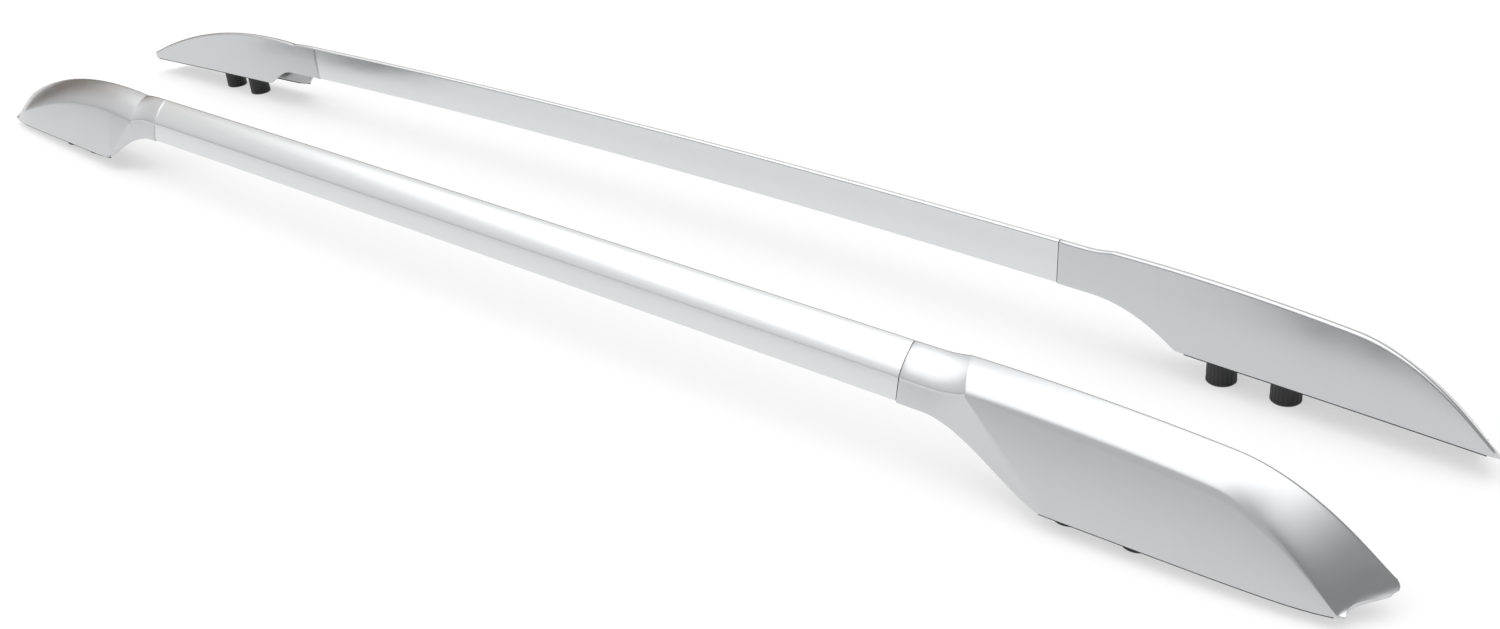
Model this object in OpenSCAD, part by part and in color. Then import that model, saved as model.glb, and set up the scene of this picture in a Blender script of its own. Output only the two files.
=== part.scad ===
// Pair of roof side rails: a curved hollow bar between two open-bottomed end covers on each
// side, carried by cast feet on rubber bushes with threaded sleeves.
// Millimetres, +Z up, +X to the front of the vehicle, -Y to its right.
// The origin lies midway between the two rails on the plane that the bushes stand on.

/* [Pair] */
// Length of each rail from tip to tip
rail_len = 1800; // [1700:10:2000]
// Space between the two inner faces at the tips, at the height of the bushes' ends
pair_gap = 173; // [150:1:1200]

/* [Curve] */
// Height of the rail's arch over its whole length
arch = 13.5; // [8:0.5:20]
// Outward bow of the rail over its whole length
bow = 15.5; // [8:0.5:20]
// Outward lean of the upright inner face, in degrees
lean = 2.7; // [1.5:0.1:3.5]
// Rise of the rail towards the front, in degrees
rake = 0.2; // [0:0.05:0.3]

/* [Bar] */
// Width of the bar
bar_w = 31; // [29:0.5:33]
// Height of the bar at its inner face
bar_h = 39.5; // [37:0.5:42]
// Height of the bar's underside above the line through the rail's two ends
bar_z = 46; // [44:0.5:50]
// Wall of the bar
bar_wall = 2.5; // [2:0.1:3]
// Radius of the bar's upper inner edge
edge_r = 1.5; // [1:0.1:2.2]
// Drop from the top of the bar to the shoulder above its outer face
bar_drop = 20.5; // [18:0.5:22]
// Batter of the bar's outer face, in degrees
bar_batter = 17; // [14:0.5:19]
// Radius of the bar's two lower edges
low_r = 2; // [1:0.1:2.4]

/* [Covers] */
// Wall of the covers
cover_wall = 2.2; // [1.8:0.1:2.6]
// Width of the covers at the lower edge
cover_w = 49; // [47:0.5:52]
// Batter of the covers' outer flank, in degrees
batter = 20; // [18:0.5:21]
// Length of the front cover
front_len = 370; // [350:5:400]
// Length of the rear cover
rear_len = 382; // [360:5:400]
// Gap between each cover and the bar's end
joint_gap = 0.3; // [0.2:0.05:0.6]

/* [Feet] */
// Distance between the two fixing centres of a foot
stud_gap = 55; // [52:1:60]
// Distance of the fixing line from the inner face, at the height of the bushes' ends
stud_in = 24; // [23:0.5:25.5]
// Distance of the front foot's centre from the front cover's joint
front_foot_at = 172.5; // [168:0.5:180]
// Distance of the rear foot's centre from the rear cover's joint
rear_foot_at = 202.5; // [190:0.5:206]
// Height of the front foot's plate above the roof
front_plate_z = 28; // [27:0.5:30]
// Height of the rear foot's plate above the roof
rear_plate_z = 32; // [31:0.5:34]
// Thickness of the plates
plate_t = 7; // [6:0.5:8]
// Diameter of the rubber bushes
bush_d = 25; // [22:0.5:27]
// Outer diameter of the threaded sleeves
sleeve_d = 12; // [11.5:0.1:13]
// Core diameter of the sleeves' thread
sleeve_bore = 6.8; // [6:0.1:8]
// Thickness of the web that joins the plate and the tongue
web_t = 10; // [8:0.5:11]
// Thickness of the rubber seal under the covers' edges
seal_t = 1.2; // [1:0.1:2]

/* [Fits] */
// Clearance between the tongue and the inside of the bar
tongue_fit = 0.35; // [0.25:0.05:0.6]
// Radial clearance of sleeves and screws in their holes
hole_fit = 0.1; // [0.05:0.05:0.2]
// Clearance between the seal and the cover's edge
seal_fit = 0.1; // [0.05:0.05:0.2]

/* [Screws] */
// Diameter of the screws that hold the bar to the feet
bar_screw_d = 5; // [4:0.5:5.5]
// Diameter of the screws that hold the covers to the feet
cover_screw_d = 5; // [4:0.5:5.5]
// Length of the tongue inside the bar
tongue_in = 62; // [56:1:70]
// Length of the tongue inside the cover
tongue_out = 31; // [28:1:32]

/* [Hidden] */

half_len = rail_len / 2;
front = 1;
rear = -1;

// The rail's curve is one large circle in a plane that leans between up and outward
sag = norm([arch, bow]);
curve_r = (half_len * half_len + sag * sag) / (2 * sag);
plane_tilt = atan2(bow, arch);
face_tilt = plane_tilt - lean;
sweep_fn = 2400;

// Distance of a section point from the circle's axis, and its place along that axis
function ring_r(u, z) = curve_r + u * sin(face_tilt) + z * cos(face_tilt);
function ring_h(u, z) = -u * cos(face_tilt) + z * sin(face_tilt);
function turn_at(x) = asin(x / curve_r);

// A point of the right rail: x along it, u outward from the inner face, z above the end line
function level_spot(x, u, z) =
    let (turn = turn_at(x), up = ring_r(u, z) * cos(turn) - (curve_r - sag), h = ring_h(u, z))
    [
        ring_r(u, z) * sin(turn),
        -pair_gap / 2 - up * sin(plane_tilt) + h * cos(plane_tilt),
        up * cos(plane_tilt) + h * sin(plane_tilt)
    ];
function raked_spot(p) = [p.x * cos(rake) - p.z * sin(rake), p.y, p.x * sin(rake) + p.z * cos(rake)];
function spot(x, u, z) = raked_spot(level_spot(x, u, z));

// Easing of a value between 0 and 1, and the softened smaller of two values
function clamp01(t) = max(0, min(1, t));
function ease_in(t) = pow(clamp01(t), 2);
function ease_out(t) = 1 - pow(1 - clamp01(t), 2);
function smooth(t) = pow(clamp01(t), 2) * (3 - 2 * clamp01(t));
function mix(a, b, t) = a + (b - a) * t;
function soft_min(a, b, k) =
    let (h = max(k - abs(a - b), 0) / k)
    min(a, b) - h * h * k / 4;

// Section of the bar, inset by a wall or a clearance
edge_steps = 3;
top_steps = 11;
bar_crisp = 1.4;
shoulder_h = bar_h - bar_drop;
bar_shoulder_u = bar_w - tan(bar_batter) * shoulder_h;
function corner_arc(cu, cz, r, from, to) =
    [for (i = [0:edge_steps]) let (a = mix(from, to, i / edge_steps)) [cu + r * cos(a), cz + r * sin(a)]];
function crown_points(u0, top, sh, slope, crisp) =
    [for (i = [1:top_steps])
        let (
            a = 90 * i / top_steps,
            rise = (top - sh[1]) * pow(max(cos(a), 0), 2 / crisp),
            reach = sh[0] - slope * (top - sh[1]) - u0
        )
        [sh[0] - slope * rise - reach * (1 - pow(sin(a), 2 / crisp)), sh[1] + rise]];
function bar_section(inset) =
    let (
        top = bar_z + bar_h - inset,
        r_low = max(low_r - inset, 0.5),
        r_top = max(edge_r - inset, 0.5),
        low = bar_z + inset + r_low,
        slope = tan(bar_batter),
        sh = [bar_shoulder_u - inset / cos(bar_batter), bar_z + shoulder_h],
        out_u = bar_w - slope * (low - bar_z) - (inset + r_low) / cos(bar_batter)
    )
    concat(
        corner_arc(inset + r_low, low, r_low, 270, 180),
        corner_arc(inset + r_top, top - r_top, r_top, 180, 90),
        crown_points(inset + r_top, top, sh, slope, bar_crisp),
        corner_arc(out_u, low, r_low, bar_batter, -90)
    );

// Sweeps a hollow section along the rail's circle from x0 to x1
module sweep(outline, hollow, x0, x1) {
    ring = [for (p = concat(outline, hollow)) [ring_r(p[0], p[1]), ring_h(p[0], p[1])]];
    paths = [
        [for (i = [0:len(outline) - 1]) i],
        [for (i = [0:len(hollow) - 1]) len(outline) + i]
    ];
    translate([0, -pair_gap / 2, 0])
        multmatrix([
            [0, 1, 0, 0],
            [-sin(plane_tilt), 0, cos(plane_tilt), (curve_r - sag) * sin(plane_tilt)],
            [cos(plane_tilt), 0, sin(plane_tilt), -(curve_r - sag) * cos(plane_tilt)]
        ])
            rotate([0, 0, turn_at(x0)])
                rotate_extrude(angle = turn_at(x1) - turn_at(x0), $fn = sweep_fn)
                    polygon(ring, paths);
}

// Stands children in the rail's own frame at x: X along the rail, -Y outward, Z up
module on_rail(x, u, z) {
    turn = turn_at(x);
    g = face_tilt;
    t = plane_tilt;
    p = level_spot(x, u, z);
    multmatrix([
        [cos(turn), -sin(g) * sin(turn), cos(g) * sin(turn), p.x],
        [sin(turn) * sin(t), sin(g) * cos(turn) * sin(t) + cos(g) * cos(t),
            -cos(g) * cos(turn) * sin(t) + sin(g) * cos(t), p.y],
        [-sin(turn) * cos(t), -sin(g) * cos(turn) * cos(t) + cos(g) * sin(t),
            cos(g) * cos(turn) * cos(t) + sin(g) * sin(t), p.z]
    ]) children();
}

// Lifts the front of the rail
module raked() {
    rotate([0, -rake, 0]) children();
}

// Shape of a cover: a list of its own sizes, with s as the distance from the joint
LENGTH = 0;
EDGE_IN = 1;
EDGE_OUT = 2;
CORNER_IN = 3;
CORNER_OUT = 4;
ARCH_IN = 5;
ARCH_OUT = 6;
SOFT_ARCH = 7;
COLLAR = 8;
KINK = 9;
RISE = 10;
CROWN = 11;
FALL = 12;
NOSE = 13;
NOSE_SLOPE = 14;
NOSE_BLEND = 15;
DROP = 16;
TIP_DROP = 17;
TAPER = 18;
TIP_CUT = 19;
SKEW = 20;
WAVE = 21;
CRISP = 22;
KINK_SKEW = 23;
TIP_R = 24;

front_nose = 79;
rear_nose = 14;
front_shape = [
    front_len,
    18.5, 8,
    113, 133,
    80, 110, 1,
    24, 49.5,
    3.3, 82, 19.1,
    front_len - front_nose, 0.82, 34,
    17.3, 15.5,
    2, 8,
    20, -4.5, 1.35, 19, 5
];
rear_shape = [
    rear_len,
    25, 12,
    107, 96,
    50, 90, 0,
    18, 46,
    0.6, 104, 55,
    rear_len - rear_nose, 4.1, 10,
    22, 22,
    6, 5,
    14, 0, 1.5, 8, 7
];
tip_flank = 1.5;
tip_crisp = 1.05;
corner_soft = 8;
tip_drop_lead = 20;
tip_drop_run = 75;
skew_lead = 50;
skew_run = 60;
wave_run = 16;

function joint_x(c) = half_len - c[LENGTH];
function collar_t(c, s) = (s - c[COLLAR]) / (c[KINK] - c[COLLAR]);
function main_rise(c, s) =
    let (
        k = c[FALL] / pow(c[LENGTH] - c[CROWN], 2),
        crown = c[RISE] - k * pow(s - c[CROWN], 2),
        nose = -c[NOSE_SLOPE] * (s - c[NOSE])
    )
    soft_min(crown, nose, c[NOSE_BLEND]);
function top_z(c, s) =
    bar_z + bar_h + (s < c[KINK] ? main_rise(c, c[KINK]) * ease_in(collar_t(c, s)) : main_rise(c, s));
function inner_edge_z(c, s) =
    mix(c[EDGE_IN], bar_z, ease_out((c[CORNER_IN] - s) / c[ARCH_IN]));
function round_arch(t, reach) = -soft_min(0, pow(1 - min(t, 1), 2) - 1, corner_soft / reach);
function outer_edge_z(c, s) =
    let (
        t = (c[CORNER_OUT] - s) / c[ARCH_OUT],
        reach = bar_z - c[EDGE_OUT]
    )
    c[EDGE_OUT] + reach * mix(round_arch(t, reach), smooth(t), c[SOFT_ARCH]);
function tip_t(c, s) = clamp01((s - c[CORNER_OUT]) / (c[LENGTH] - c[CORNER_OUT]));
function base_w(c, s) = cover_w - c[TAPER] * tip_t(c, s) - c[TIP_CUT] * pow(tip_t(c, s), 10);
function drop_at(c, s) =
    let (
        from_bar = mix(bar_drop, c[DROP], ease_in(collar_t(c, s))),
        to_tip = mix(from_bar, c[TIP_DROP], smooth((s - c[NOSE] + tip_drop_lead) / tip_drop_run))
    )
    min(to_tip, top_z(c, s) - c[EDGE_OUT] - tip_flank);
function shoulder_z(c, s) = top_z(c, s) - drop_at(c, s);
function flank_u(c, s, z) = base_w(c, s) - tan(batter) * (z - c[EDGE_OUT]);
function shoulder_u(c, s) =
    let (wide = flank_u(c, max(s, c[KINK]), shoulder_z(c, max(s, c[KINK]))))
    mix(bar_shoulder_u, wide, ease_in(collar_t(c, s)));
function crease_z(c, s) =
    let (t = 0.03 + 0.94 * clamp01((s - c[KINK]) / (c[CORNER_OUT] - c[KINK])))
    mix(shoulder_z(c, s), outer_edge_z(c, max(s, c[CORNER_OUT])), t);
function crease_u(c, s) =
    s < c[KINK]
        ? mix(shoulder_u(c, s), edge_u(c, s), 0.03)
        : flank_u(c, s, crease_z(c, s));
function edge_u(c, s) =
    let (t = (s - c[COLLAR]) / (c[CORNER_OUT] - c[COLLAR]))
    mix(bar_w, base_w(c, s), ease_in(t));

function cover_crown(c, s, inset, u0) =
    let (
        t = ease_in(collar_t(c, s)),
        sh = [shoulder_u(c, s) - inset, shoulder_z(c, s)],
        crisp = mix(mix(bar_crisp, c[CRISP], t), tip_crisp, smooth((s - c[LENGTH] + wave_run) / wave_run))
    )
    crown_points(u0, top_z(c, s) - inset, sh, tan(mix(bar_batter, batter, t)), crisp);

// Open section of a cover at s, from the inner lower edge over the top to the outer one
flank_steps = 3;
function cover_section(c, s, inset) =
    let (
        top = top_z(c, s),
        low = inner_edge_z(c, s),
        r = min(edge_r, (top - low) / 2),
        r_in = max(r - inset, 0.4),
        sh = [shoulder_u(c, s), shoulder_z(c, s)],
        cr = [crease_u(c, s), crease_z(c, s)],
        foot = [edge_u(c, s), outer_edge_z(c, s)]
    )
    concat(
        [[inset, low]],
        corner_arc(inset + r_in, top - inset - r_in, r_in, 180, 90),
        cover_crown(c, s, inset, inset + r_in),
        [for (i = [1:flank_steps]) mix(sh, cr, i / flank_steps) - [inset, 0]],
        [for (i = [1:flank_steps]) mix(cr, foot, i / flank_steps) - [inset, 0]]
    );

// Places a section's points: the kink slants, and the tip is cut back towards the outside
function kink_share(c, s) =
    s < c[KINK] ? smooth(s / c[KINK]) : 1 - smooth((s - c[KINK]) / (c[CORNER_OUT] - c[KINK]));
function corner_cut(c, u) = c[TIP_R] - sqrt(pow(c[TIP_R], 2) - pow(max(c[TIP_R] - u, 0), 2));
function cover_ring(c, end, s, inset) =
    let (
        blend = smooth((s - c[NOSE] + skew_lead) / skew_run),
        tip_blend = smooth((s - c[LENGTH] + wave_run) / wave_run),
        slant = c[KINK_SKEW] * kink_share(c, s),
        low = outer_edge_z(c, s),
        high = shoulder_z(c, s)
    )
    [for (p = cover_section(c, s, inset))
        let (
            v = p[0] / base_w(c, s),
            tip_cut = c[WAVE] * sin(360 * v) + corner_cut(c, p[0]),
            ahead = slant * v * clamp01((p[1] - low) / (high - low)),
            x = joint_x(c) + s + ahead - c[SKEW] * v * blend - tip_cut * tip_blend
        )
        spot(end * x, p[0], p[1])];

// Stations along a cover, closer at the collar, the kink and the nose
function steps_between(a, b, n) = [for (i = [0:n - 1]) mix(a, b, i / n)];
function cover_stations(c) = concat(
    [joint_gap],
    steps_between(c[COLLAR] * 0.6, c[KINK], 5),
    steps_between(c[KINK], c[CORNER_OUT], 7),
    steps_between(c[CORNER_OUT], c[CORNER_OUT] + 0.55 * (c[LENGTH] - c[CORNER_OUT]), 7),
    steps_between(c[CORNER_OUT] + 0.55 * (c[LENGTH] - c[CORNER_OUT]), c[LENGTH] - 2 * cover_wall, 14),
    [c[LENGTH] - cover_wall, c[LENGTH]]
);

// Shell between an outer and an inner skin, open below, solid over its last station
module cover_shell(c, end) {
    stations = cover_stations(c);
    last = len(stations) - 1;
    outer = [for (s = stations) cover_ring(c, end, s, 0)];
    inner = [for (i = [0:last - 1]) cover_ring(c, end, stations[i], cover_wall)];
    m = len(outer[0]);
    half = floor(m / 2);
    points = concat([for (r = outer) each r], [for (r = inner) each r]);
    function o(i, j) = i * m + j;
    function n(i, j) = (last + 1 + i) * m + j;
    skin_out = [for (i = [0:last - 1], j = [0:m - 2]) each [
        [o(i, j), o(i, j + 1), o(i + 1, j + 1)],
        [o(i, j), o(i + 1, j + 1), o(i + 1, j)]]];
    skin_in = [for (i = [0:last - 2], j = [0:m - 2]) each [
        [n(i, j), n(i + 1, j + 1), n(i, j + 1)],
        [n(i, j), n(i + 1, j), n(i + 1, j + 1)]]];
    joint_face = [for (j = [0:m - 2]) each [
        [o(0, j), n(0, j), n(0, j + 1)],
        [o(0, j), n(0, j + 1), o(0, j + 1)]]];
    edge_faces = [for (i = [0:last - 2]) each [
        [o(i, 0), o(i + 1, 0), n(i + 1, 0)],
        [o(i, 0), n(i + 1, 0), n(i, 0)],
        [o(i, m - 1), n(i + 1, m - 1), o(i + 1, m - 1)],
        [o(i, m - 1), n(i, m - 1), n(i + 1, m - 1)]]];
    tip_face = [for (j = [0:half - 1]) each [
        [o(last, j), o(last, j + 1), o(last, m - 2 - j)],
        [o(last, j), o(last, m - 2 - j), o(last, m - 1 - j)]]];
    hollow_end = [for (j = [0:half - 1]) each [
        [n(last - 1, j), n(last - 1, m - 2 - j), n(last - 1, j + 1)],
        [n(last - 1, j), n(last - 1, m - 1 - j), n(last - 1, m - 2 - j)]]];
    tip_floor = [
        [o(last - 1, 0), o(last, 0), n(last - 1, 0)],
        [n(last - 1, 0), o(last, 0), o(last, m - 1)],
        [n(last - 1, 0), o(last, m - 1), n(last - 1, m - 1)],
        [n(last - 1, m - 1), o(last, m - 1), o(last - 1, m - 1)]
    ];
    faces = concat(skin_out, skin_in, joint_face, edge_faces, tip_face, hollow_end, tip_floor);
    kept = [for (f = faces) if (f[0] != f[1] && f[1] != f[2] && f[0] != f[2]) f];
    polyhedron(points, end < 0 ? kept : [for (f = kept) [f[2], f[1], f[0]]]);
}

// Rubber strip under a cover's level edges, set in from its skin, round the nose and back
seal_in = 0.6;
seal_nose = 7;
seal_nose_w = 5;
seal_landing = 3.5;
function seal_pair(c, end, s, j) = [
    cover_ring(c, end, s, seal_in)[j],
    cover_ring(c, end, s < c[LENGTH] - seal_nose ? s : s - seal_nose_w, cover_wall)[j]
];
module seal_strip(c, end) {
    nose = c[LENGTH] - seal_nose;
    run = [for (s = cover_stations(c)) if (s < nose - seal_nose_w - 1) s];
    in_run = concat([for (s = run) if (s > c[CORNER_IN]) s], [nose]);
    out_run = concat([for (s = run) if (s >= c[CORNER_OUT]) s], [nose]);
    m = len(cover_section(c, c[LENGTH], 0));
    landing = [for (s = [nose, nose - seal_nose_w]) cover_ring(c, end, s, seal_landing)[m - 1]];
    top_drop = [0, 0, -seal_fit];
    low_drop = [0, 0, -seal_fit - seal_t];
    pairs = concat(
        [for (s = in_run) seal_pair(c, end, s, 0)],
        [landing],
        [for (i = [len(out_run) - 1:-1:0]) seal_pair(c, end, out_run[i], m - 1)]
    );
    points = [for (p = pairs) each [p[0] + top_drop, p[1] + top_drop, p[1] + low_drop, p[0] + low_drop]];
    count = len(pairs);
    side = [for (i = [0:count - 2], j = [0:3])
        let (a = 4 * i + j, b = 4 * i + (j + 1) % 4)
        each [[a, a + 4, b + 4], [a, b + 4, b]]];
    z = 4 * (count - 1);
    ends = [[0, 1, 2], [0, 2, 3], [z + 3, z + 2, z + 1], [z + 3, z + 1, z]];
    faces = concat(side, ends);
    polyhedron(points, end > 0 ? faces : [for (f = faces) [f[2], f[1], f[0]]]);
}

// A foot's own sizes
FOOT_X = 0;
PLATE_Z = 1;
front_foot_place = [joint_x(front_shape) + front_foot_at, front_plate_z];
rear_foot_place = [joint_x(rear_shape) + rear_foot_at, rear_plate_z];
plate_end = 30;
plate_w = 25;
plate_shift = 3.5;
boss_d = 17;
boss_h = 8;
web_shift = 7;
screw_off = 20;
screw_head_h = 3;
screw_depth = 14;
post_d = 9;
post_sides = 24;
web_reach = 10;
arm_overlap = 5;

function foot_x(f, end) = end * f[FOOT_X];
function foot_y(f, end) = spot(foot_x(f, end), stud_in, 0).y;
function stud_x(f, end, i) = foot_x(f, end) + end * (i - 0.5) * stud_gap;
function cover_screw_x(f, end) = foot_x(f, end) + end * (stud_gap / 2 + screw_off);

// The tongue in the bar, the web down to the plate, and the plate with its two bosses
module foot(c, f, end) {
    y = foot_y(f, end);
    z = f[PLATE_Z];
    color("darkgray") difference() {
        union() {
            tongue(c, end);
            translate([0, y + web_shift + web_t / 2, 0])
                rotate([90, 0, 0])
                    linear_extrude(web_t)
                        polygon(web_outline(c, f, end));
            translate([foot_x(f, end) - stud_gap / 2 - plate_end, y + plate_shift - plate_w / 2, z])
                cube([stud_gap + 2 * plate_end, plate_w, plate_t]);
            for (i = [0, 1])
                translate([stud_x(f, end, i), y, z])
                    cylinder(d = boss_d, h = plate_t + boss_h, $fn = 48);
        }
        for (i = [0, 1])
            translate([stud_x(f, end, i), y, z - 1])
                cylinder(d = sleeve_d + 2 * hole_fit, h = sleeve_top(f) - z + 1 + hole_fit, $fn = 48);
        translate([cover_screw_x(f, end), y, z - 1])
            cylinder(d = cover_screw_d + 2 * hole_fit, h = plate_t + 2, $fn = 32);
        bar_screw_holes(c, end);
    }
}

// Straight tongue across the joint, with a pocket in the end that lies inside the bar
tongue_wall = 5;
pocket_w = 9;
pocket_h = 11;
function turned(points, end) = [for (p = points) [-end * p[0], p[1]]];
module tongue(c, end) {
    inset = bar_wall + tongue_fit;
    wall = inset + tongue_wall;
    length = tongue_in + tongue_out;
    raked()
        on_rail(end * (joint_x(c) + (tongue_out - tongue_in) / 2), 0, 0)
            rotate([90, 0, end * 90])
                translate([0, 0, -length / 2])
                    difference() {
                        linear_extrude(length)
                            polygon(turned(bar_section(inset), end));
                        translate([end > 0 ? -wall - pocket_w : wall, bar_z + wall, -1])
                            cube([pocket_w, pocket_h, tongue_in - tongue_wall]);
                    }
}

// Side view of the web, as points in X and Z
function web_outline(c, f, end) =
    let (
        base = f[PLATE_Z] + plate_t - 1,
        arm_x = end * (joint_x(c) + tongue_out - arm_overlap),
        arm_low = spot(arm_x, stud_in, bar_z + bar_wall + 3).z,
        arm_top = spot(arm_x, stud_in, bar_z + shoulder_h).z,
        near_x = stud_x(f, end, 0) - end * boss_d / 2,
        far_x = stud_x(f, end, 1) + end * web_reach
    )
    [
        [arm_x, arm_low],
        [near_x - end * 14, base],
        [far_x, base],
        [far_x, base + boss_h],
        [near_x, arm_top],
        [arm_x, arm_top]
    ];

// Screw places along the tongue inside the bar
function bar_screw_x(c, end, i) = end * (joint_x(c) - tongue_in * (0.3 + 0.4 * i));
bar_screw_len = 9;
bar_head_h = 2.3;
module bar_screw_holes(c, end) {
    raked() for (i = [0, 1])
        on_rail(bar_screw_x(c, end, i), bar_w / 2, bar_z - 1)
            cylinder(d = bar_screw_d, h = bar_screw_len + 2, $fn = 32);
}
module countersinks(c, end) {
    raked() for (i = [0, 1])
        on_rail(bar_screw_x(c, end, i), bar_w / 2, bar_z - 0.01)
            cylinder(
                d1 = 2 * (bar_screw_d + hole_fit), d2 = bar_screw_d + 2 * hole_fit,
                h = bar_head_h, $fn = 32
            );
}

function sleeve_top(f) = f[PLATE_Z] + plate_t + boss_h - 4;
sleeve_low = 1;

// Hollow extrusion, swept in two halves that meet at its highest point, with holes below
half_lap = 1;
module rail_bar() {
    outline = bar_section(0);
    hollow = bar_section(bar_wall);
    color("silver") difference() {
        raked() union() {
            sweep(outline, hollow, -joint_x(rear_shape), half_lap);
            sweep(outline, hollow, -half_lap, joint_x(front_shape));
        }
        bar_screw_holes(front_shape, front);
        bar_screw_holes(rear_shape, rear);
        countersinks(front_shape, front);
        countersinks(rear_shape, rear);
    }
}

// Height of a cover's crown at a distance from the inner face
function skin_z(c, s, u) = lookup(u, cover_crown(c, s, 0, edge_r));
function mid_wall_z(c, x, out) =
    let (
        s = abs(x) - joint_x(c),
        u = stud_in + out - top_z(c, s) * tan(lean)
    )
    spot(x, u, skin_z(c, s, u)).z - cover_wall / 2;

// Post for the cover's screw, from just above the plate into the middle of the cover's wall
module screw_post(c, f, end) {
    x = cover_screw_x(f, end);
    y = foot_y(f, end);
    low = post_low(f);
    ring = [for (k = [0:post_sides - 1])
        let (a = 360 * k / post_sides)
        [post_d / 2 * cos(a), post_d / 2 * sin(a)]];
    points = concat(
        [for (p = ring) [x + p[0], y + p[1], low]],
        [for (p = ring) [x + p[0], y + p[1], mid_wall_z(c, x + p[0], -p[1])]],
        [[x, y, mid_wall_z(c, x, 0)]]
    );
    n = post_sides;
    base = [[for (k = [0:n - 1]) k]];
    walls = [for (k = [0:n - 1]) [k, n + k, n + (k + 1) % n, (k + 1) % n]];
    crown = [for (k = [0:n - 1]) [2 * n, n + (k + 1) % n, n + k]];
    polyhedron(points, concat(base, walls, crown));
}
function post_low(f) = f[PLATE_Z] + plate_t + joint_gap;

// Cover with the post that takes its screw
module cover(c, f, end) {
    color("lightgray") difference() {
        union() {
            cover_shell(c, end);
            screw_post(c, f, end);
        }
        translate([cover_screw_x(f, end), foot_y(f, end), post_low(f) - 1])
            cylinder(d = cover_screw_d - 0.8, h = screw_depth + 1, $fn = 32);
    }
}

module seal(c, end) {
    color("dimgray") seal_strip(c, end);
}

module bush(f, end, i) {
    color("black")
        translate([stud_x(f, end, i), foot_y(f, end), 0])
            difference() {
                cylinder(d = bush_d, h = f[PLATE_Z], $fn = 64);
                translate([0, 0, -1])
                    cylinder(d = sleeve_d + 2 * hole_fit, h = f[PLATE_Z] + 2, $fn = 48);
            }
}

module sleeves(f, end) {
    color("gainsboro") for (i = [0, 1])
        translate([stud_x(f, end, i), foot_y(f, end), sleeve_low])
            difference() {
                cylinder(d = sleeve_d, h = sleeve_top(f) - sleeve_low, $fn = 48);
                translate([0, 0, -1])
                    cylinder(d = sleeve_bore, h = sleeve_top(f) - sleeve_low - 2, $fn = 48);
            }
}

module cover_screw(f, end) {
    color("dimgray")
        translate([cover_screw_x(f, end), foot_y(f, end), f[PLATE_Z] - screw_head_h])
            union() {
                cylinder(d = 2 * cover_screw_d, h = screw_head_h, $fn = 32);
                cylinder(
                    d = cover_screw_d - 1,
                    h = screw_head_h + plate_t + joint_gap + screw_depth - 2, $fn = 32
                );
            }
}

module bar_screws(c, end) {
    color("dimgray") raked() for (i = [0, 1])
        on_rail(bar_screw_x(c, end, i), bar_w / 2, bar_z)
            union() {
                cylinder(d1 = 2 * bar_screw_d, d2 = bar_screw_d, h = bar_head_h, $fn = 32);
                cylinder(d = bar_screw_d - 2 * hole_fit, h = bar_screw_len, $fn = 32);
            }
}

// The left rail is the right one's mirror image
module left() {
    mirror([0, 1, 0]) children();
}

rail_bar();  // right_bar
cover(front_shape, front_foot_place, front);  // right_front_cover
cover(rear_shape, rear_foot_place, rear);  // right_rear_cover
seal(front_shape, front);  // right_front_seal
seal(rear_shape, rear);  // right_rear_seal
foot(front_shape, front_foot_place, front);  // right_front_foot
foot(rear_shape, rear_foot_place, rear);  // right_rear_foot
bush(front_foot_place, front, 0);  // right_front_bush_1
bush(front_foot_place, front, 1);  // right_front_bush_2
bush(rear_foot_place, rear, 0);  // right_rear_bush_1
bush(rear_foot_place, rear, 1);  // right_rear_bush_2
sleeves(front_foot_place, front);  // right_front_sleeves
sleeves(rear_foot_place, rear);  // right_rear_sleeves
cover_screw(front_foot_place, front);  // right_front_cover_screw
cover_screw(rear_foot_place, rear);  // right_rear_cover_screw
bar_screws(front_shape, front);  // right_front_bar_screws
bar_screws(rear_shape, rear);  // right_rear_bar_screws
left() rail_bar();  // left_bar
left() cover(front_shape, front_foot_place, front);  // left_front_cover
left() cover(rear_shape, rear_foot_place, rear);  // left_rear_cover
left() seal(front_shape, front);  // left_front_seal
left() seal(rear_shape, rear);  // left_rear_seal
left() foot(front_shape, front_foot_place, front);  // left_front_foot
left() foot(rear_shape, rear_foot_place, rear);  // left_rear_foot
left() bush(front_foot_place, front, 0);  // left_front_bush_1
left() bush(front_foot_place, front, 1);  // left_front_bush_2
left() bush(rear_foot_place, rear, 0);  // left_rear_bush_1
left() bush(rear_foot_place, rear, 1);  // left_rear_bush_2
left() sleeves(front_foot_place, front);  // left_front_sleeves
left() sleeves(rear_foot_place, rear);  // left_rear_sleeves
left() cover_screw(front_foot_place, front);  // left_front_cover_screw
left() cover_screw(rear_foot_place, rear);  // left_rear_cover_screw
left() bar_screws(front_shape, front);  // left_front_bar_screws
left() bar_screws(rear_shape, rear);  // left_rear_bar_screws
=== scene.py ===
"""Looks of a mirrored pair of roof side rails: swept covers, curved bars, feet and a white studio.

Lengths are in metres, +X is the front of the vehicle, -Y its right-hand side and +Z up.
"""

import logging
from dataclasses import dataclass
from enum import Enum
from math import atan2, asin, cos, degrees, hypot, pi, radians, sin, tan

import bmesh
import bpy
from mathutils import Matrix, Vector


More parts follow.
